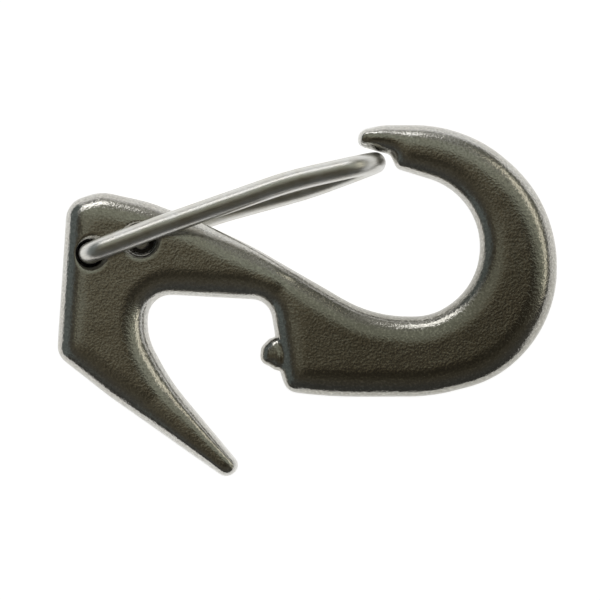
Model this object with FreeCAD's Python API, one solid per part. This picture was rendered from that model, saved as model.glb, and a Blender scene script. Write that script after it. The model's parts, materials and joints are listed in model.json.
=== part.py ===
import FreeCAD, Part
import math
import os

from FreeCAD import Vector

# Sail snap hank: a flat forged hook body and a sprung gate of bent wire.
#
# The hank lies flat with its front face up.  +X runs from the head to the hook's nose side,
# +Y towards the hook's tip, +Z out of the front face.  The origin is the centre of the hook's
# round seat, on the body's middle plane.  All sizes are in millimetres and degrees.

# Driving dimensions ---------------------------------------------------------------------------

BODY_THICKNESS = 5.5
EDGE_ROUNDING = 0.8

SEAT_RADIUS = 9.9            # inside radius of the hook, where the stay lies
SEAT_FIRST_ANGLE = -60.0     # the round seat's two ends, about its centre
SEAT_LAST_ANGLE = 73.0
SEAT_ARCS = 2

NUB_THICKNESS = 3.0
NUB_ROUNDING = 0.6

WIRE_RADIUS = 1.5
LEG_CLEARANCE = 0.25         # between a gate leg and the body's face
PIN_BEND_RADIUS = 2.5        # where a leg turns into its pivot hole
PIN_STOP = 1.2               # how far past the middle plane a pivot end reaches
NOSE_SPLIT = 0.1             # gap between the two halves of the wire, at the nose

HOLE_CLEARANCE = 0.4
HOLE_CHAMFER = 0.35
WEB_START = 1.3              # web left in each hole, past the pivot end
WEB_END = 1.9
WEB_HOLE_RADIUS = 1.2

FRONT_PIVOT = (-44.6, -0.95)
REAR_PIVOT = (-37.4, 0.9)
REAR_PIN_OFFSET = -0.25      # the spring holds the rear end against the hole's outer side
NOSE = (-4.7, 11.75)

# Plan points of the two legs between pivot and nose: x, y, bend radius
FRONT_LEG_BENDS = [(-34.5, 2.85, 70.0), (-16.5, 9.15, 60.0)]
REAR_LEG_BENDS = [(-27.0, 4.7, 70.0), (-14.0, 8.3, 60.0)]

# Worked out -----------------------------------------------------------------------------------

HALF_THICKNESS = BODY_THICKNESS / 2
LEG_HEIGHT = HALF_THICKNESS + LEG_CLEARANCE + WIRE_RADIUS
NOSE_BEND_RADIUS = LEG_HEIGHT - NOSE_SPLIT / 2
HOLE_RADIUS = WIRE_RADIUS + HOLE_CLEARANCE


def seat_tangent(angle, reach):
    """Point on the seat circle's tangent at an angle, reach beyond the touching point."""
    a = math.radians(angle)
    x = SEAT_RADIUS * math.cos(a) - reach * math.sin(a)
    y = SEAT_RADIUS * math.sin(a) + reach * math.cos(a)
    return x, y


def seat_corners():
    """Corners of the polygon around the seat circle, anticlockwise."""
    step = (SEAT_LAST_ANGLE - SEAT_FIRST_ANGLE) / SEAT_ARCS
    reach = SEAT_RADIUS / math.cos(math.radians(step / 2))
    corners = []
    for index in range(SEAT_ARCS):
        a = math.radians(SEAT_FIRST_ANGLE + (index + 0.5) * step)
        corners.append((reach * math.cos(a), reach * math.sin(a), SEAT_RADIUS))
    return corners


def body_corners():
    """Corners of the body's outline, clockwise seen from the front: x, y, rounding radius."""
    head = [
        (-47.9, 6.2, 3.2),       # back corner
        (-43.2, 7.8, 6.0),       # crown
        (-36.5, 6.35, 20.0),
    ]
    spine = [
        (-30.0, 3.9, 40.0),
        (-21.5, -0.1, 60.0),
        (-5.0, -9.72, 18.0),
        (*seat_tangent(SEAT_FIRST_ANGLE, -2.29), 8.3),
    ]
    tip = [
        (*seat_tangent(SEAT_LAST_ANGLE, 4.85), 1.0),     # step beside the gate's nose
        (-2.65, 12.85, 0.5),
        (-7.35, 14.15, 1.0),
        (-7.0, 16.4, 1.6),
        (-3.6, 17.1, 8.0),
    ]
    bow = [
        (8.2, 17.1, 20.0),
        (20.8, 6.0, 19.0),
        (20.75, -10.3, 17.5),
        (12.4, -18.7, 16.0),
        (3.0, -21.0, 25.0),
        (-11.0, -21.05, 60.0),
    ]
    heel = [
        (-17.1, -20.3, 2.0),
        (-18.1, -17.4, 6.0),
        (-18.9, -11.5, 10.0),
    ]
    eye = [
        (-19.6, -7.5, 2.8),
        (-36.3, -6.6, 3.2),
    ]
    claw = [
        (-36.6, -12.5, 8.0),
        (-33.4, -18.6, 30.0),
        (-23.4, -30.6, 1.3),     # point
        (-25.3, -32.7, 1.6),
        (-41.9, -21.0, 40.0),
    ]
    back = [
        (-49.3, -15.2, 2.8),
    ]
    return head + spine + seat_corners() + tip + bow + heel + eye + claw + back


def nub_corners():
    """Corners of the low nub that keys the bent claw: x, y, rounding radius."""
    return [
        (-16.8, -12.4, 0.8),
        (-16.8, -18.1, 0.8),
        (-20.9, -16.1, 1.3),
        (-20.7, -14.0, 1.3),
        (-19.1, -12.4, 0.8),
    ]


def rounded_edges(points, radii, closed):
    """Straight edges joined by tangent arcs, through 3-D points."""
    count = len(points)
    first = 0 if closed else 1
    last = count if closed else count - 1
    edges = []
    pen = None if closed else points[0]
    start = None
    for index in range(first, last):
        here = points[index]
        back = (points[index - 1] - here).normalize()
        ahead = (points[(index + 1) % count] - here).normalize()
        half_turn = (math.pi - back.getAngle(ahead)) / 2
        reach = radii[index] * math.tan(half_turn)
        arc_start = here + back * reach
        arc_end = here + ahead * reach
        middle = (back + ahead).normalize()
        arc_top = here + middle * (radii[index] * (1 / math.cos(half_turn) - 1))
        if pen is None:
            start = arc_start
        else:
            edges += straight_edge(pen, arc_start)
        edges.append(Part.Arc(arc_start, arc_top, arc_end).toShape())
        pen = arc_end
    edges += straight_edge(pen, start if closed else points[-1])
    return edges


def straight_edge(start, end):
    """One straight edge, or none where two arcs meet."""
    if start.distanceToPoint(end) < 1e-6:
        return []
    return [Part.LineSegment(start, end).toShape()]


def plate(corners, thickness, rounding):
    """Flat plate about the middle plane, with rounded edges front and back."""
    points = [Vector(x, y, -thickness / 2) for x, y, radius in corners]
    radii = [radius for x, y, radius in corners]
    outline = Part.Wire(rounded_edges(points, radii, closed=True))
    solid = Part.Face(outline).extrude(Vector(0, 0, thickness))
    rim = [edge for edge in solid.Edges if abs(edge.BoundBox.ZLength) < 1e-6]
    return solid.makeFillet(rounding, rim)


def pivot_hole(centre, side):
    """Chamfered at both mouths, with a web that closes the gap past the pivot's end."""
    x, y = centre
    up = Vector(0, 0, side)

    def bore(radius, start, end):
        return Part.makeCylinder(radius, end - start, Vector(x, y, side * start), up)

    hole = bore(WEB_HOLE_RADIUS, -HALF_THICKNESS, HALF_THICKNESS)
    hole = hole.fuse(bore(HOLE_RADIUS, -WEB_START, HALF_THICKNESS))
    hole = hole.fuse(bore(HOLE_RADIUS, -HALF_THICKNESS, -WEB_END))
    wide = HOLE_RADIUS + HOLE_CHAMFER
    for face in (1, -1):
        mouth = Part.makeCone(wide, HOLE_RADIUS, HOLE_CHAMFER,
                              Vector(x, y, face * HALF_THICKNESS), Vector(0, 0, -face))
        hole = hole.fuse(mouth)
    return hole


def hook_body():
    body = plate(body_corners(), BODY_THICKNESS, EDGE_ROUNDING)
    body = body.fuse(plate(nub_corners(), NUB_THICKNESS, NUB_ROUNDING))
    body = body.cut(pivot_hole(FRONT_PIVOT, 1))
    body = body.cut(pivot_hole(REAR_PIVOT, -1))
    return body


def gate_leg(pivot, bends, side):
    """Half of the gate's wire: from its end in the pivot hole to the middle of the nose."""
    height = side * LEG_HEIGHT
    route = [(*pivot, -side * PIN_STOP, 0), (*pivot, height, PIN_BEND_RADIUS)]
    route += [(x, y, height, radius) for x, y, radius in bends]
    route += [(*NOSE, height, NOSE_BEND_RADIUS), (*NOSE, side * NOSE_SPLIT / 2, 0)]
    points = [Vector(x, y, z) for x, y, z, radius in route]
    radii = [radius for x, y, z, radius in route]
    edges = rounded_edges(points, radii, closed=False)
    section = Part.Wire(Part.makeCircle(WIRE_RADIUS, points[0], Vector(0, 0, side)))
    leg = Part.Wire(edges).makePipeShell([section], True, False)
    length = sum(edge.Length for edge in edges)
    filled = leg.Volume / (math.pi * WIRE_RADIUS ** 2 * length)
    print(f"wire length {length:.2f} mm, volume against section x length {filled:.4f}")
    return leg


def export(shape, node):
    solids = shape.Solids
    print(node, "solids", len(solids), "valid", shape.isValid(), "volume", round(shape.Volume, 1))
    solids[0].exportStep(f"parts/{node}.step")


os.makedirs("parts", exist_ok=True)
export(hook_body(), "hook_body")
export(gate_leg(FRONT_PIVOT, FRONT_LEG_BENDS, 1), "gate_front_leg")
rear_pin = (REAR_PIVOT[0] + REAR_PIN_OFFSET, REAR_PIVOT[1])
export(gate_leg(rear_pin, REAR_LEG_BENDS, -1), "gate_rear_leg")
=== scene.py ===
import json
import math

import bmesh
import bpy
import numpy as np
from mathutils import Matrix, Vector, kdtree, noise


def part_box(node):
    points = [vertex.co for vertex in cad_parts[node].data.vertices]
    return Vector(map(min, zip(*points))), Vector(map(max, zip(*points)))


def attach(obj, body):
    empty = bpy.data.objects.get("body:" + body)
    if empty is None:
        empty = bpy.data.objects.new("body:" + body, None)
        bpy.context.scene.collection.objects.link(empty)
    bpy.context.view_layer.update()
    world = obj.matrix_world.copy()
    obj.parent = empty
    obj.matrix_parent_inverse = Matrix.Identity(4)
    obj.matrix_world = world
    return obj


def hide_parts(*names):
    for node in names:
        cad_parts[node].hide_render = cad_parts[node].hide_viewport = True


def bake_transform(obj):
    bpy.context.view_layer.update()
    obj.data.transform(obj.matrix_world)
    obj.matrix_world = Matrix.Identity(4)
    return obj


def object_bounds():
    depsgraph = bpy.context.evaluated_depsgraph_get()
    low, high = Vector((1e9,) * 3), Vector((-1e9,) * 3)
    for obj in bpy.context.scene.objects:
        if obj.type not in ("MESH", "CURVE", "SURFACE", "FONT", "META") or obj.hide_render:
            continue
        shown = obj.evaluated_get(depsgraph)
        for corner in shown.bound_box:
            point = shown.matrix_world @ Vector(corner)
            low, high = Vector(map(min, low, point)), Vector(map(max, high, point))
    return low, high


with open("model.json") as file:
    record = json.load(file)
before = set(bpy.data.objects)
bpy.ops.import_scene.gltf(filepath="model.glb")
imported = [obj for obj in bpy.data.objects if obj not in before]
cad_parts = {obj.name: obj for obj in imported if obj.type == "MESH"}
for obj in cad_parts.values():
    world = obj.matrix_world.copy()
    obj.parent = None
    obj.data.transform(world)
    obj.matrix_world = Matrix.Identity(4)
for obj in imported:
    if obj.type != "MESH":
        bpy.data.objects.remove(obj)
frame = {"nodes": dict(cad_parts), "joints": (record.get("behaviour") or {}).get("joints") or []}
CAD_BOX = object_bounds()

# Sail snap hank, in metres, in the CAD frame: it lies flat, front face up, with the origin at the
# centre of the hook's round seat on the body's middle plane.

MM = 0.001

# Forged body: its cross-section is a superellipse about the middle plane
BODY = "hook_body"
SECTION_SHARE = 0.69                        # share of the half thickness where a section misses the nub
CROWN_WIDTH = 4.2 * MM                      # how far in from the outline the face still rises
CROWN_POWER = 2.3
CROWN_TAPER = 1.7                           # how fast that width falls where the forging is narrow
LEAST_CROWN = 0.2                           # smallest share of the width that is left there
PARTING_RIDGE = 0.06 * MM                   # trimmed flash line at mid-thickness
PARTING_WIDTH = 0.35 * MM

# Nub on the heel
NUB_HALF = 1.7 * MM                         # half its thickness
NUB_CROWN = 1.9 * MM
NUB_POWER = 2.2
NUB_BLEND = 1.5 * MM                        # how softly it runs into the heel
NUB_BLEND_FADE = (2.4 * MM, 3.4 * MM)       # distances from its tip over which that softness ends
NUB_REACH = 3.2 * MM                        # further from its tip than this, it is cut off
NUB_CUT = 10                                # how steeply

# Pivot holes: each has a thin web with a smaller hole, and a chamfer on both faces
WEB = (1.3 * MM, 1.9 * MM)                  # from and to, past the middle plane as seen from the wire
WEB_HOLE_RADIUS = 1.2 * MM
HOLE_CHAMFER = (0.6 * MM, 0.43 * MM)        # across and down
HOLE_LIP = 0.1 * MM                         # softening of the chamfer's edges
REAR_PIN_ROOM = 0.12 * MM                   # the rear pin wanders in its hole as the gate swings
BORE_RADIUS = 1.95 * MM                     # inside this radius the bores get painted shade
BORE_SHADE = (0.4 * MM, 0.8 * MM)           # the painted shade deepens over these depths below the face

# Mesh of the body
BODY_VOXEL = 0.225 * MM
GRID_STEP = 0.1 * MM
SAMPLE_STEP = 0.03 * MM                     # spacing of the points that stand for the outline
CORNER_BLUR = 14                            # rounds of blur that ease the outline's corners
RIDGE_BLUR = 70                             # rounds that round the ridges along narrow places
WIDTH_BLUR = 12                             # rounds that even out the crown's width
RIDGE_INSET = (0.4 * MM, 1.1 * MM)          # the ridges' blur sets in over these insets
LONGEST_MOVE = 0.3 * MM                     # of a point in one round of settling
EVEN_ROUNDS = 4                             # rounds that even the mesh out over the surface
SMOOTH_ROUNDS = 4                           # rounds that smooth it at the end
RELAX = 0.6                                 # share of the way to the neighbours' middle
UNSHRINK = -0.62                            # a step back, which undoes the shrinking
SWELL = 0.035 * MM                          # unevenness of the forging
WAVES = [(7 * MM, 0.65), (2.2 * MM, 0.35)]  # wavelength and share of each layer of it

# Gate wire: each leg's bends are x, y and radius in millimetres
WIRE_RADIUS = 1.5 * MM
WIRE_SIDES = 40
ROUTE_STEP = 0.4 * MM
BEND_STEP = 0.12                            # radians, the longest step around a bend
PIN_BEND_RADIUS = 2.5 * MM
END_CHAMFER = 0.3 * MM
REAR_PIVOT = (-37.4 * MM, 0.9 * MM)
REAR_PIN_OFFSET = -0.25 * MM
NOSE = (-4.7 * MM, 11.75 * MM)
NOSE_LENGTH = 8 * MM                        # stretch of both legs that belongs to the nose
FRONT_LEG_BENDS = [(-34.5, 2.85, 70.0), (-16.5, 9.15, 60.0)]
REAR_LEG_BENDS = [(-27.0, 4.7, 70.0), (-14.0, 8.3, 60.0)]
SKIN_LENGTH = 8 * MM                        # about how long one of the wire's drawing lines is
SKIN_FINENESS = 9                           # how closely they lie around the wire

# Looks
BOW_SHADE_CENTRE = (6 * MM, -20 * MM, 0)             # painted shade: the face is darkened most around here, on the bow
BOW_SHADE_FADE = (14 * MM, 34 * MM)           # the painted shade fades over these distances from there

# Stage
CAMERA_HEIGHT = 0.6                         # metres
VIEW_WIDTH = 84 * MM                        # at the body's middle plane
VIEW_CENTRE = (-15.23 * MM, -7.45 * MM)
SENSOR_WIDTH = 36                           # millimetres, as the lens is
FLOOR_HALF = 3.0                            # metres
FLOOR_GAP = 0.2 * MM                        # below the hank's lowest point
BACKDROP = (0.92, 0.92, 0.92, 1)            # what a level view shows above the floor


# Distance fields -------------------------------------------------------------------------------

def section_segments(node, height):
    """Edges of the CAD node's section at a height, as an array of pairs of points."""
    bm = bmesh.new()
    bm.from_mesh(frame["nodes"][node].data)
    cut = bmesh.ops.bisect_plane(
        bm, geom=bm.verts[:] + bm.edges[:] + bm.faces[:],
        plane_co=(0, 0, height), plane_no=(0, 0, 1),
    )
    edges = [e for e in cut["geom_cut"] if isinstance(e, bmesh.types.BMEdge)]
    segments = np.array([[v.co[:2] for v in e.verts] for e in edges])
    bm.free()
    return segments


class GridMap:
    """Values on a regular grid, looked up between its points."""

    def __init__(self, low, step, values):
        self.low = low
        self.step = step
        self.values = values

    def __call__(self, x, y):
        u = np.clip((x - self.low[0]) / self.step, 0, self.values.shape[0] - 1.001)
        v = np.clip((y - self.low[1]) / self.step, 0, self.values.shape[1] - 1.001)
        i, j = u.astype(int), v.astype(int)
        u, v = u - i, v - j
        g = self.values
        return (g[i, j] * (1 - u) * (1 - v) + g[i + 1, j] * u * (1 - v)
                + g[i, j + 1] * (1 - u) * v + g[i + 1, j + 1] * u * v)


def distance_map(segments, step):
    """Distance to a flat outline, positive inside it."""
    margin = 12 * step
    low = segments.reshape(-1, 2).min(0) - margin
    high = segments.reshape(-1, 2).max(0) + margin
    size = np.ceil((high - low) / step).astype(int) + 1
    xs = low[0] + step * np.arange(size[0])
    ys = low[1] + step * np.arange(size[1])
    distance = nearest(segments, xs, ys)
    return GridMap(low, step, np.where(inside(segments, xs, ys), distance, -distance))


def inside(segments, xs, ys):
    """Even-odd test of every grid point, one row of the grid at a time."""
    a, b = segments[:, 0], segments[:, 1]
    result = np.zeros((len(xs), len(ys)), bool)
    for j, y in enumerate(ys):
        crossing = (a[:, 1] > y) != (b[:, 1] > y)
        p, q = a[crossing], b[crossing]
        x = p[:, 0] + (y - p[:, 1]) * (q[:, 0] - p[:, 0]) / (q[:, 1] - p[:, 1])
        result[:, j] = np.searchsorted(np.sort(x), xs) % 2 == 1
    return result


def nearest(segments, xs, ys):
    """Distance from every grid point to the nearest point of the segments."""
    samples = []
    for a, b in segments:
        count = max(1, int(math.ceil(np.hypot(*(b - a)) / SAMPLE_STEP)))
        samples.append(a + (b - a) * (np.arange(count)[:, None] / count))
    samples = np.concatenate(samples)
    tree = kdtree.KDTree(len(samples))
    for index, (x, y) in enumerate(samples):
        tree.insert((x, y, 0), index)
    tree.balance()
    find = tree.find
    return np.array([[find((x, y, 0))[2] for y in ys] for x in xs])


def blur(values, rounds):
    """Repeated average of each value's four neighbours."""
    for _ in range(rounds):
        around = np.pad(values, 1, mode="edge")
        values = (around[:-2, 1:-1] + around[2:, 1:-1] + around[1:-1, :-2] + around[1:-1, 2:]) / 4
    return values


def softened(outline):
    """The distance map with its corners eased and its ridges rounded."""
    edge = blur(outline.values, CORNER_BLUR)
    middle = blur(edge, RIDGE_BLUR)
    share = smoothstep(*RIDGE_INSET, outline.values)
    return GridMap(outline.low, outline.step, edge + share * (middle - edge))


def crown_width(outline):
    """How far in from the outline the face rises: less where the forging is narrow."""
    stride = 4
    coarse = outline.values[::stride, ::stride]
    cell = stride * outline.step
    reach = round(CROWN_WIDTH / cell)
    padded = np.pad(coarse, reach, mode="edge")
    widest = coarse.copy()
    for i in range(2 * reach + 1):
        for j in range(2 * reach + 1):
            if (i - reach) ** 2 + (j - reach) ** 2 <= reach ** 2:
                window = padded[i:i + coarse.shape[0], j:j + coarse.shape[1]]
                widest = np.maximum(widest, window)
    share = np.clip(blur(widest, WIDTH_BLUR) / CROWN_WIDTH, LEAST_CROWN, 1) ** CROWN_TAPER
    return GridMap(outline.low, cell, CROWN_WIDTH * share)


def pillow(inset, z, half, width, power):
    """Signed value, about a distance, of a plate with a superellipse edge: negative inside."""
    u = np.maximum(0, 1 - inset / width)
    w = np.abs(z) / half
    length = np.maximum((u ** power + w ** power) ** (1 / power), 1e-6)
    du = (u / length) ** (power - 1) / width
    dw = (w / length) ** (power - 1) / half
    return (length - 1) / np.maximum(np.hypot(du, dw), 1e-6)


def smooth_min(a, b, k):
    """The smaller of two values, with a soft change over within k of each other."""
    h = np.maximum(k - np.abs(a - b), 0) / np.maximum(k, 1e-9)
    return np.minimum(a, b) - h * h * k / 4


def pivot_hole(distance, depth, half, radius):
    """Negative inside a stepped, chamfered hole; depth counts from the middle to the wire's side."""
    not_web = np.minimum(-WEB[0] - depth, depth + WEB[1])
    hole = np.minimum(distance - WEB_HOLE_RADIUS, np.maximum(distance - radius, not_web))
    across, down = HOLE_CHAMFER
    chamfer = (distance - radius) * down - (np.abs(depth) - half + down) * across
    return np.minimum(hole, chamfer / math.hypot(across, down))


def smoothstep(low, high, value):
    """Rises smoothly from 0 at low to 1 at high."""
    t = np.clip((value - low) / (high - low), 0, 1)
    return t * t * (3 - 2 * t)


# Forged body -----------------------------------------------------------------------------------

def pivots():
    """Centres of the front and rear pivot holes."""
    joint = next(j for j in frame["joints"] if j["name"] == "gate_swing")
    return [tuple(joint["pos_m"][:2]), REAR_PIVOT]


def body_surface():
    """A function of points that is zero on the finished forging's surface, negative inside it."""
    low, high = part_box(BODY)
    half = (high.z - low.z) / 2
    plain = section_segments(BODY, SECTION_SHARE * half)
    keyed = section_segments(BODY, 0)
    centres = pivots()
    hole_radius = min(np.hypot(*(plain.reshape(-1, 2) - centres[0]).T))

    def without_holes(segments):
        """The section's edges, leaving out the circles of the pivot holes."""
        middle = segments.mean(1)
        keep = np.ones(len(segments), bool)
        for centre in centres:
            keep &= np.hypot(*(middle - centre).T) > hole_radius * 1.05
        return segments[keep]

    outline = distance_map(without_holes(plain), GRID_STEP)
    width = crown_width(outline)
    inset = softened(outline)
    nub_outline = distance_map(without_holes(keyed), GRID_STEP)
    bulge = keyed.reshape(-1, 2)
    apart = outline(bulge[:, 0], bulge[:, 1])
    nub_tip = bulge[np.argmin(apart)]

    def value(p):
        x, y, z = p.T
        ridge = PARTING_RIDGE * (1 - np.exp(-(z / PARTING_WIDTH) ** 2))
        plate = pillow(inset(x, y) - ridge, z, half, width(x, y), CROWN_POWER)
        nub = pillow(nub_outline(x, y), z, NUB_HALF, NUB_CROWN, NUB_POWER)
        near = np.hypot(x - nub_tip[0], y - nub_tip[1])
        nub = nub + NUB_CUT * np.maximum(0, near - NUB_REACH)
        blend = NUB_BLEND * (1 - smoothstep(*NUB_BLEND_FADE, near))
        solid = smooth_min(plate, nub, blend)
        for (cx, cy), side, room in zip(centres, (1, -1), (0, REAR_PIN_ROOM)):
            hole = pivot_hole(np.hypot(x - cx, y - cy), side * z, half, hole_radius + room)
            solid = -smooth_min(-solid, hole, 2 * HOLE_LIP)
        return solid

    return value


def gradient(value, p, step=0.02 * MM):
    """Slope of a value at each point, from its differences."""
    columns = []
    for axis in range(3):
        shift = np.zeros(3)
        shift[axis] = step
        columns.append((value(p + shift) - value(p - shift)) / (2 * step))
    return np.stack(columns, 1)


def settle(p, value, rounds):
    """Points moved along the gradient towards the surface where the value is zero."""
    for _ in range(rounds):
        g = gradient(value, p)
        size = np.maximum((g ** 2).sum(1), 0.05)
        move = -(value(p) / size)[:, None] * g
        length = np.maximum(np.linalg.norm(move, axis=1), 1e-12)
        p = p + move * np.minimum(1, LONGEST_MOVE / length)[:, None]
    return p


def read_points(mesh):
    p = np.empty(len(mesh.vertices) * 3)
    mesh.vertices.foreach_get("co", p)
    return p.reshape(-1, 3)


def write_points(mesh, p):
    mesh.vertices.foreach_set("co", p.ravel())
    mesh.update()


def relax(mesh, p, amount):
    """Points moved part of the way to the middle of their neighbours."""
    edges = np.empty(len(mesh.edges) * 2, int)
    mesh.edges.foreach_get("vertices", edges)
    a, b = edges.reshape(-1, 2).T
    total = np.zeros_like(p)
    count = np.zeros(len(p))
    for i, j in ((a, b), (b, a)):
        for axis in range(3):
            total[:, axis] += np.bincount(i, p[j, axis], len(p))
        count += np.bincount(i, minlength=len(p))
    return p + amount * (total / np.maximum(count, 1)[:, None] - p)


def remeshed(node, name):
    """A new piece with the CAD node's surface as an even mesh, and no material."""
    piece = bpy.data.objects.new(name, frame["nodes"][node].data.copy())
    bpy.context.scene.collection.objects.link(piece)
    remesh = piece.modifiers.new("remesh", "REMESH")
    remesh.mode = "VOXEL"
    remesh.voxel_size = BODY_VOXEL
    bpy.context.view_layer.update()
    depsgraph = bpy.context.evaluated_depsgraph_get()
    dense = bpy.data.meshes.new_from_object(piece.evaluated_get(depsgraph))
    dense.name = name
    dense.materials.clear()
    piece.modifiers.clear()
    piece.data = dense
    return piece


def swollen(p, value):
    """Points moved a little along the surface's normal, as on a forging that isn't quite even."""
    normal = gradient(value, p)
    normal /= np.maximum(np.linalg.norm(normal, axis=1), 1e-6)[:, None]
    waves = np.array([
        sum(share * noise.noise(Vector(q) / length) for length, share in WAVES)
        for q in p
    ])
    return p + normal * (SWELL * (waves - 0.5))[:, None]


def paint_bore_shade(mesh, p, top):
    """Stores how deep in a pivot hole each point lies, from 0 to 1, as the share of painted shade that
    the material puts there.
    """
    depth = np.zeros(len(p))
    for centre in pivots():
        near = np.hypot(*(p[:, :2] - centre).T) < BORE_RADIUS
        depth[near] = top - np.abs(p[near, 2])
    bore_painted_shade = mesh.attributes.new("bore_painted_shade", "FLOAT", "POINT")
    bore_painted_shade.data.foreach_set("value", smoothstep(*BORE_SHADE, depth))


def forging():
    """The hook body: the CAD solid's surface, moved onto the forging's rounded section."""
    piece = remeshed(BODY, "forged_hook")
    mesh = piece.data
    value = body_surface()
    p = settle(read_points(mesh), value, 3)
    for _ in range(EVEN_ROUNDS):
        p = settle(relax(mesh, p, RELAX), value, 1)
    p = swollen(settle(p, value, 2), value)
    for _ in range(SMOOTH_ROUNDS):
        p = relax(mesh, relax(mesh, p, RELAX), UNSHRINK)
    low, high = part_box(BODY)
    write_points(mesh, np.clip(p, low, high))
    mesh.shade_smooth()
    paint_bore_shade(mesh, p, high.z)
    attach(piece, "hook")
    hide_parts(BODY)
    return piece


# Gate wire -------------------------------------------------------------------------------------

def rounded_route(points, radii, step):
    """Points along straight runs joined by tangent arcs, evenly spaced."""
    route = [points[0]]
    for here, before, after, radius in zip(points[1:-1], points, points[2:], radii[1:-1]):
        back = (before - here).normalized()
        ahead = (after - here).normalized()
        half_turn = (math.pi - back.angle(ahead)) / 2
        reach = radius * math.tan(half_turn)
        centre = here + (back + ahead).normalized() * (radius / math.cos(half_turn))
        start = here + back * reach
        route += straight_run(route[-1], start, step)
        count = max(2, round(2 * half_turn * radius / min(step, radius * BEND_STEP)))
        for k in range(1, count + 1):
            angle = 2 * half_turn * k / count
            route.append(centre + (start - centre) * math.cos(angle) - back * radius * math.sin(angle))
    return route + straight_run(route[-1], points[-1], step)


def straight_run(start, end, step):
    """Evenly spaced points after start, up to end, if they are apart."""
    length = (end - start).length
    if length < 1e-7:
        return []
    count = max(1, round(length / step))
    return [start.lerp(end, k / count) for k in range(1, count + 1)]


def leg_route(pivot, bends, side):
    """Points from the wire's end in its pivot hole to the middle of the nose."""
    node = "gate_front_leg" if side > 0 else "gate_rear_leg"
    low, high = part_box(node)
    height = high.z - WIRE_RADIUS if side > 0 else low.z + WIRE_RADIUS
    stop = low.z if side > 0 else high.z
    points = [Vector((*pivot, stop)), Vector((*pivot, height))]
    radii = [0, PIN_BEND_RADIUS]
    for x, y, radius in bends:
        points.append(Vector((x * MM, y * MM, height)))
        radii.append(radius * MM)
    points += [Vector((*NOSE, height)), Vector((*NOSE, 0))]
    radii += [abs(height), 0]
    return rounded_route(points, radii, ROUTE_STEP)


def tube_rings(route, radius_at):
    """Rings of points around a route; the section's frame is carried along it."""
    last = len(route) - 1
    side = None
    rings = []
    for k, point in enumerate(route):
        tangent = (route[min(k + 1, last)] - route[max(k - 1, 0)]).normalized()
        side = tangent.orthogonal() if side is None else side
        side = (side - tangent * side.dot(tangent)).normalized()
        other = tangent.cross(side)
        ring = []
        for s in range(WIRE_SIDES):
            a = 2 * math.pi * s / WIRE_SIDES
            ring.append(point + (side * math.cos(a) + other * math.sin(a)) * radius_at(k))
        rings.append(ring)
    return rings


def wire_piece(name, rings, lengths):
    """A closed stretch of the wire, which knows where it lies along the wire and around it."""
    bm = bmesh.new()
    loops = [[bm.verts.new(point) for point in ring] for ring in rings]
    for one, two in zip(loops, loops[1:]):
        for s in range(WIRE_SIDES):
            t = (s + 1) % WIRE_SIDES
            bm.faces.new((one[s], one[t], two[t], two[s]))
    caps = [bm.faces.new(loops[0][::-1]), bm.faces.new(loops[-1])]
    for face in bm.faces:
        face.smooth = True
    for cap in caps:
        for edge in cap.edges:
            edge.smooth = False
    mesh = bpy.data.meshes.new(name)
    bm.to_mesh(mesh)
    bm.free()
    skin = mesh.attributes.new("wire_skin", "FLOAT_VECTOR", "POINT")
    for index, item in enumerate(skin.data):
        ring, place = divmod(index, WIRE_SIDES)
        a = 2 * math.pi * place / WIRE_SIDES
        around = (SKIN_FINENESS * math.cos(a), SKIN_FINENESS * math.sin(a))
        item.vector = (lengths[ring] / SKIN_LENGTH, *around)
    piece = bpy.data.objects.new(name, mesh)
    bpy.context.scene.collection.objects.link(piece)
    return piece


def gate_wire():
    """One bent wire in three stretches: two rigid legs, and between them the nose."""
    front, rear = pivots()
    rear_pin = (rear[0] + REAR_PIN_OFFSET, rear[1])
    out = leg_route(front, FRONT_LEG_BENDS, 1)
    home = leg_route(rear_pin, REAR_LEG_BENDS, -1)
    route = out + home[::-1][1:]
    lengths = [0.0]
    for a, b in zip(route, route[1:]):
        lengths.append(lengths[-1] + (b - a).length)

    def radius_at(k):
        reach = min(lengths[k], lengths[-1] - lengths[k])
        return WIRE_RADIUS - max(0, END_CHAMFER - reach)

    rings = tube_rings(route, radius_at)
    nose_start = NOSE[0] - NOSE_LENGTH
    first = max(k for k, point in enumerate(out) if point.x < nose_start)
    last = len(route) - 1 - max(k for k, point in enumerate(home) if point.x < nose_start)
    front_leg = wire_piece("gate_wire_front", rings[:first + 1], lengths)
    nose = wire_piece("gate_wire_nose", rings[first:last + 1], lengths[first:])
    rear_leg = wire_piece("gate_wire_rear", rings[last:], lengths[last:])
    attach(front_leg, "gate_front")
    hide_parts("gate_front_leg")
    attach(rear_leg, "gate_rear")
    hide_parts("gate_rear_leg")
    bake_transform(nose)
    return front_leg, nose, rear_leg


# Materials -------------------------------------------------------------------------------------

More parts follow.
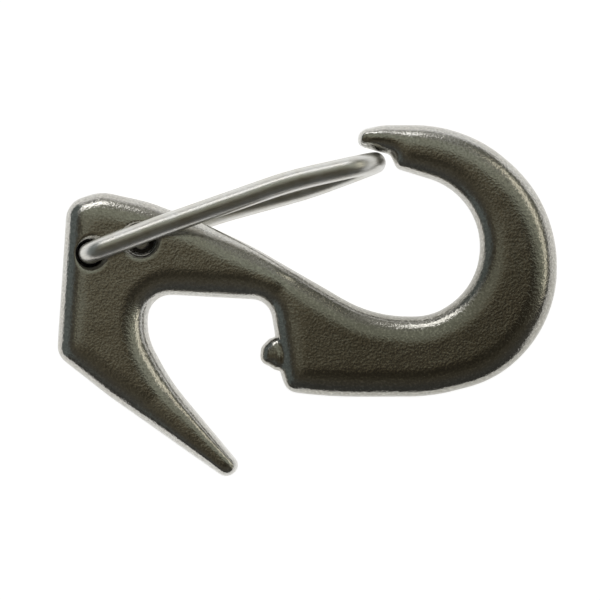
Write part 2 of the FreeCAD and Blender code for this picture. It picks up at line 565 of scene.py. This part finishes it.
class Nodes:
    """Short calls for building a node tree."""

    def __init__(self, tree):
        self.tree = tree

    def add(self, kind, inputs=(), **settings):
        node = self.tree.nodes.new(kind)
        for name, value in settings.items():
            setattr(node, name, value)
        for key, value in dict(inputs).items():
            self.put(node.inputs[key], value)
        return node

    def put(self, socket, value):
        if isinstance(value, bpy.types.NodeSocket):
            self.tree.links.new(value, socket)
        else:
            socket.default_value = value

    def noise(self, vector, scale, detail=2.0, roughness=0.5):
        inputs = {"Vector": vector, "Scale": scale, "Detail": detail, "Roughness": roughness}
        return self.add("ShaderNodeTexNoise", inputs).outputs[0]

    def math(self, operation, a, b=0.0):
        return self.add("ShaderNodeMath", {0: a, 1: b}, operation=operation).outputs[0]

    def remap(self, value, low, high, to_low, to_high, smooth=False):
        inputs = {"Value": value, "From Min": low, "From Max": high, "To Min": to_low, "To Max": to_high}
        kind = "SMOOTHSTEP" if smooth else "LINEAR"
        return self.add("ShaderNodeMapRange", inputs, interpolation_type=kind).outputs[0]

    def mix(self, factor, a, b):
        node = self.add("ShaderNodeMix", {"Factor": factor}, data_type="RGBA")
        self.put(node.inputs["A"], a)
        self.put(node.inputs["B"], b)
        return node.outputs["Result"]

    def bump(self, height, distance, strength, normal=None):
        inputs = {"Height": height, "Distance": distance, "Strength": strength}
        if normal is not None:
            inputs["Normal"] = normal
        return self.add("ShaderNodeBump", inputs).outputs[0]


def metal(name):
    """A new metallic material: its node helper, its shader and its object coordinates."""
    material = bpy.data.materials.new(name)
    material.use_nodes = True
    nodes = Nodes(material.node_tree)
    shader = material.node_tree.nodes["Principled BSDF"]
    shader.inputs["Metallic"].default_value = 1
    place = nodes.add("ShaderNodeTexCoord").outputs["Object"]
    return material, nodes, shader, place


def forged_steel():
    """Tumbled stainless forging: orange peel, light and dark grain, painted shade over the bow, painted
    shade in the bores.
    """
    material, nodes, shader, place = metal("forged_steel")
    cloud = nodes.noise(place, 220, 3.0, 0.6)
    blotch = nodes.noise(place, 900, 3.0, 0.6)
    grain = nodes.noise(place, 3000, 2.0, 0.6)
    peel = nodes.noise(place, 1400, 1.0, 0.5)
    bore_painted_shade = nodes.add("ShaderNodeAttribute", attribute_name="bore_painted_shade").outputs["Fac"]
    warm = (0.48, 0.465, 0.43, 1)
    cool = (0.52, 0.515, 0.49, 1)
    colour = nodes.mix(nodes.remap(cloud, 0.35, 0.65, 0, 1), warm, cool)
    # painted shade: the bow's face darkened, for the dimmer reflection it shows
    bow = nodes.add("ShaderNodeVectorMath", {0: place, 1: BOW_SHADE_CENTRE}, operation="DISTANCE").outputs["Value"]
    bow_shade = nodes.remap(bow, *BOW_SHADE_FADE, 0.75, 0, smooth=True)
    colour = nodes.mix(bow_shade, colour, (0.30, 0.29, 0.255, 1))
    colour = nodes.mix(nodes.remap(grain, 0.28, 0.48, 0.45, 0), colour, (0.22, 0.21, 0.18, 1))
    colour = nodes.mix(nodes.remap(grain, 0.52, 0.72, 0, 0.40), colour, (0.80, 0.78, 0.71, 1))
    # painted shade: the pivot bores darkened towards black with depth
    colour = nodes.mix(bore_painted_shade, colour, (0.05, 0.045, 0.04, 1))
    nodes.put(shader.inputs["Base Color"], colour)
    rough = nodes.remap(blotch, 0.3, 0.7, 0.10, 0.16)
    nodes.put(shader.inputs["Roughness"], nodes.math("ADD", rough, nodes.math("MULTIPLY", bore_painted_shade, 0.3)))
    normal = nodes.bump(peel, 0.045 * MM, 0.25)
    normal = nodes.bump(grain, 0.060 * MM, 0.6, normal)
    nodes.put(shader.inputs["Normal"], normal)
    return material


def wire_steel():
    """Drawn spring wire with a satin polish: faint lines along it and a little grain."""
    material, nodes, shader, place = metal("wire_steel")
    skin = nodes.add("ShaderNodeAttribute", attribute_name="wire_skin").outputs["Vector"]
    lines = nodes.noise(skin, 1.0, 2.0, 0.5)
    grain = nodes.noise(place, 3000, 2.0, 0.5)
    blotch = nodes.noise(place, 500, 3.0, 0.6)
    warm = (0.62, 0.605, 0.56, 1)
    cool = (0.70, 0.70, 0.68, 1)
    colour = nodes.mix(nodes.remap(blotch, 0.35, 0.65, 0, 1), warm, cool)
    colour = nodes.mix(nodes.remap(lines, 0.30, 0.45, 0.35, 0), colour, (0.40, 0.39, 0.36, 1))
    nodes.put(shader.inputs["Base Color"], colour)
    nodes.put(shader.inputs["Roughness"], nodes.remap(blotch, 0.3, 0.7, 0.31, 0.38))
    normal = nodes.bump(lines, 0.012 * MM, 0.5)
    normal = nodes.bump(grain, 0.020 * MM, 0.6, normal)
    nodes.put(shader.inputs["Normal"], normal)
    return material


# Stage -----------------------------------------------------------------------------------------

def floor():
    """A pale sheet just under the hank. It glows, so that hardly any shadow shows on it."""
    mesh = bpy.data.meshes.new("floor")
    half = FLOOR_HALF
    z = CAD_BOX[0].z - FLOOR_GAP
    corners = [(-half, -half, z), (half, -half, z), (half, half, z), (-half, half, z)]
    mesh.from_pydata(corners, [], [(0, 1, 2, 3)])
    plane = bpy.data.objects.new("floor", mesh)
    bpy.context.scene.collection.objects.link(plane)
    material = bpy.data.materials.new("floor_paper")
    material.use_nodes = True
    shader = material.node_tree.nodes["Principled BSDF"]
    shader.inputs["Base Color"].default_value = (0.5, 0.5, 0.5, 1)
    shader.inputs["Roughness"].default_value = 0.9
    shader.inputs["Emission Color"].default_value = (1, 1, 1, 1)
    shader.inputs["Emission Strength"].default_value = 0.92
    plane.data.materials.append(material)


# Soft boxes and screens in the sky around the hank: azimuth from +X, elevation, half width, half
# height and softness of the edge, all in degrees, and colour. Later ones cover earlier ones.
PANELS = [
    (0, 13, 50, 8, 4.0, (0.85, 0.85, 0.84)),         # pale wall, right
    (60, 36, 40, 19, 8.0, (0.17, 0.17, 0.14)),       # dim wall, upper right
    (80, 30, 12, 14, 6.0, (0.42, 0.42, 0.39)),       # grey card, top
    (118, 68, 22, 16, 6.0, (0.24, 0.24, 0.19)),      # green screen, high at the top
    (62, 66, 46, 13, 4.0, (0.31, 0.32, 0.26)),       # paler green screen, high on the upper right
    (60, 52, 25, 1.2, 1.0, (0.50, 0.50, 0.47)),      # bright slit below it
    (128, 34, 20, 9, 4.0, (0.55, 0.55, 0.53)),       # dimmer soft box beside the main one, left
    (105, 33, 17, 8, 3.0, (2.7, 2.7, 2.7)),          # main soft box, at the top
    (20, 42, 24, 6, 4.0, (1.25, 1.20, 1.00)),        # warm soft box, right
    (180, 16, 52, 26, 8.0, (0.145, 0.165, 0.162)),   # blue screen, left
    (270, 17, 50, 19, 5.0, (0.07, 0.07, 0.065)),     # dim wall, bottom
]
SKY = [                                              # sine of the elevation, colour
    (0.00, (0.90, 0.90, 0.90)),
    (0.18, (0.80, 0.80, 0.80)),
    (0.28, (0.13, 0.13, 0.12)),
    (0.70, (0.078, 0.074, 0.062)),
    (0.965, (0.100, 0.088, 0.060)),
    (0.984, (0.058, 0.052, 0.040)),
    (0.992, (0.125, 0.108, 0.072)),
]


def studio():
    """The world: a bright horizon, a dim sky, and the panels that the metal mirrors."""
    world = bpy.data.worlds.new("studio")
    bpy.context.scene.world = world
    world.use_nodes = True
    nodes = Nodes(world.node_tree)
    toward = nodes.add("ShaderNodeTexCoord").outputs["Generated"]
    height = nodes.add("ShaderNodeSeparateXYZ", {0: toward}).outputs["Z"]
    ramp = nodes.add("ShaderNodeValToRGB", {0: height})
    stops = ramp.color_ramp.elements
    while len(stops) < len(SKY):
        stops.new(0.5)
    for stop, (position, colour) in zip(stops, SKY):
        stop.position = position
        stop.color = (*colour, 1)
    lean = dot(nodes, toward, (-0.7, 0.7, 0))
    ceiling = nodes.remap(lean, -0.08, 0.08, 0.45, 1.5)       # brighter towards the upper left
    ceiling = nodes.remap(height, 0.85, 0.95, 1, ceiling)     # but only high overhead
    mottle = nodes.remap(nodes.noise(toward, 22), 0.3, 0.7, 0.65, 1.35)
    sky = nodes.mix(1, ramp.outputs[0], nodes.math("MULTIPLY", ceiling, mottle))
    sky.node.blend_type = "MULTIPLY"
    for panel in PANELS:
        sky = hang(nodes, toward, sky, *panel)
    seen = nodes.add("ShaderNodeLightPath").outputs["Is Camera Ray"]
    sky = nodes.mix(seen, sky, BACKDROP)
    nodes.put(world.node_tree.nodes["Background"].inputs["Color"], sky)


def hang(nodes, toward, sky, azimuth, elevation, half_width, half_height, softness, colour):
    """The sky with one rectangular panel hung in it."""
    a, e = math.radians(azimuth), math.radians(elevation)
    middle = (math.cos(a) * math.cos(e), math.sin(a) * math.cos(e), math.sin(e))
    across = (-math.sin(a), math.cos(a), 0)
    up = (-math.cos(a) * math.sin(e), -math.sin(a) * math.sin(e), math.cos(e))
    depth = nodes.math("MAXIMUM", dot(nodes, toward, middle), 0.01)
    mask = None
    for direction, half in ((across, half_width), (up, half_height)):
        angle = nodes.math("DIVIDE", dot(nodes, toward, direction), depth)
        angle = nodes.math("ABSOLUTE", angle)
        inner = math.tan(math.radians(half - softness / 2))
        outer = math.tan(math.radians(half + softness / 2))
        edge = nodes.remap(angle, inner, outer, 1, 0, smooth=True)
        mask = edge if mask is None else nodes.math("MULTIPLY", mask, edge)
    return nodes.mix(mask, sky, (*colour, 1))


def dot(nodes, a, b):
    """Dot product of two vectors, in the node tree."""
    node = nodes.add("ShaderNodeVectorMath", {0: a, 1: b}, operation="DOT_PRODUCT")
    return node.outputs["Value"]


def camera():
    """Looks straight down at the hank's front through a long lens."""
    data = bpy.data.cameras.new("camera")
    cam = bpy.data.objects.new("camera", data)
    bpy.context.scene.collection.objects.link(cam)
    data.sensor_width = SENSOR_WIDTH
    data.lens = SENSOR_WIDTH * CAMERA_HEIGHT / VIEW_WIDTH
    cam.location = (*VIEW_CENTRE, CAMERA_HEIGHT)
    bpy.context.scene.camera = cam
    scene = bpy.context.scene
    scene.view_settings.view_transform = "Standard"
    scene.view_settings.look = "None"


camera()
floor()
studio()
hook = forging()
gate = gate_wire()
hook.data.materials.append(forged_steel())
wire_finish = wire_steel()
for stretch in gate:
    stretch.data.materials.append(wire_finish)
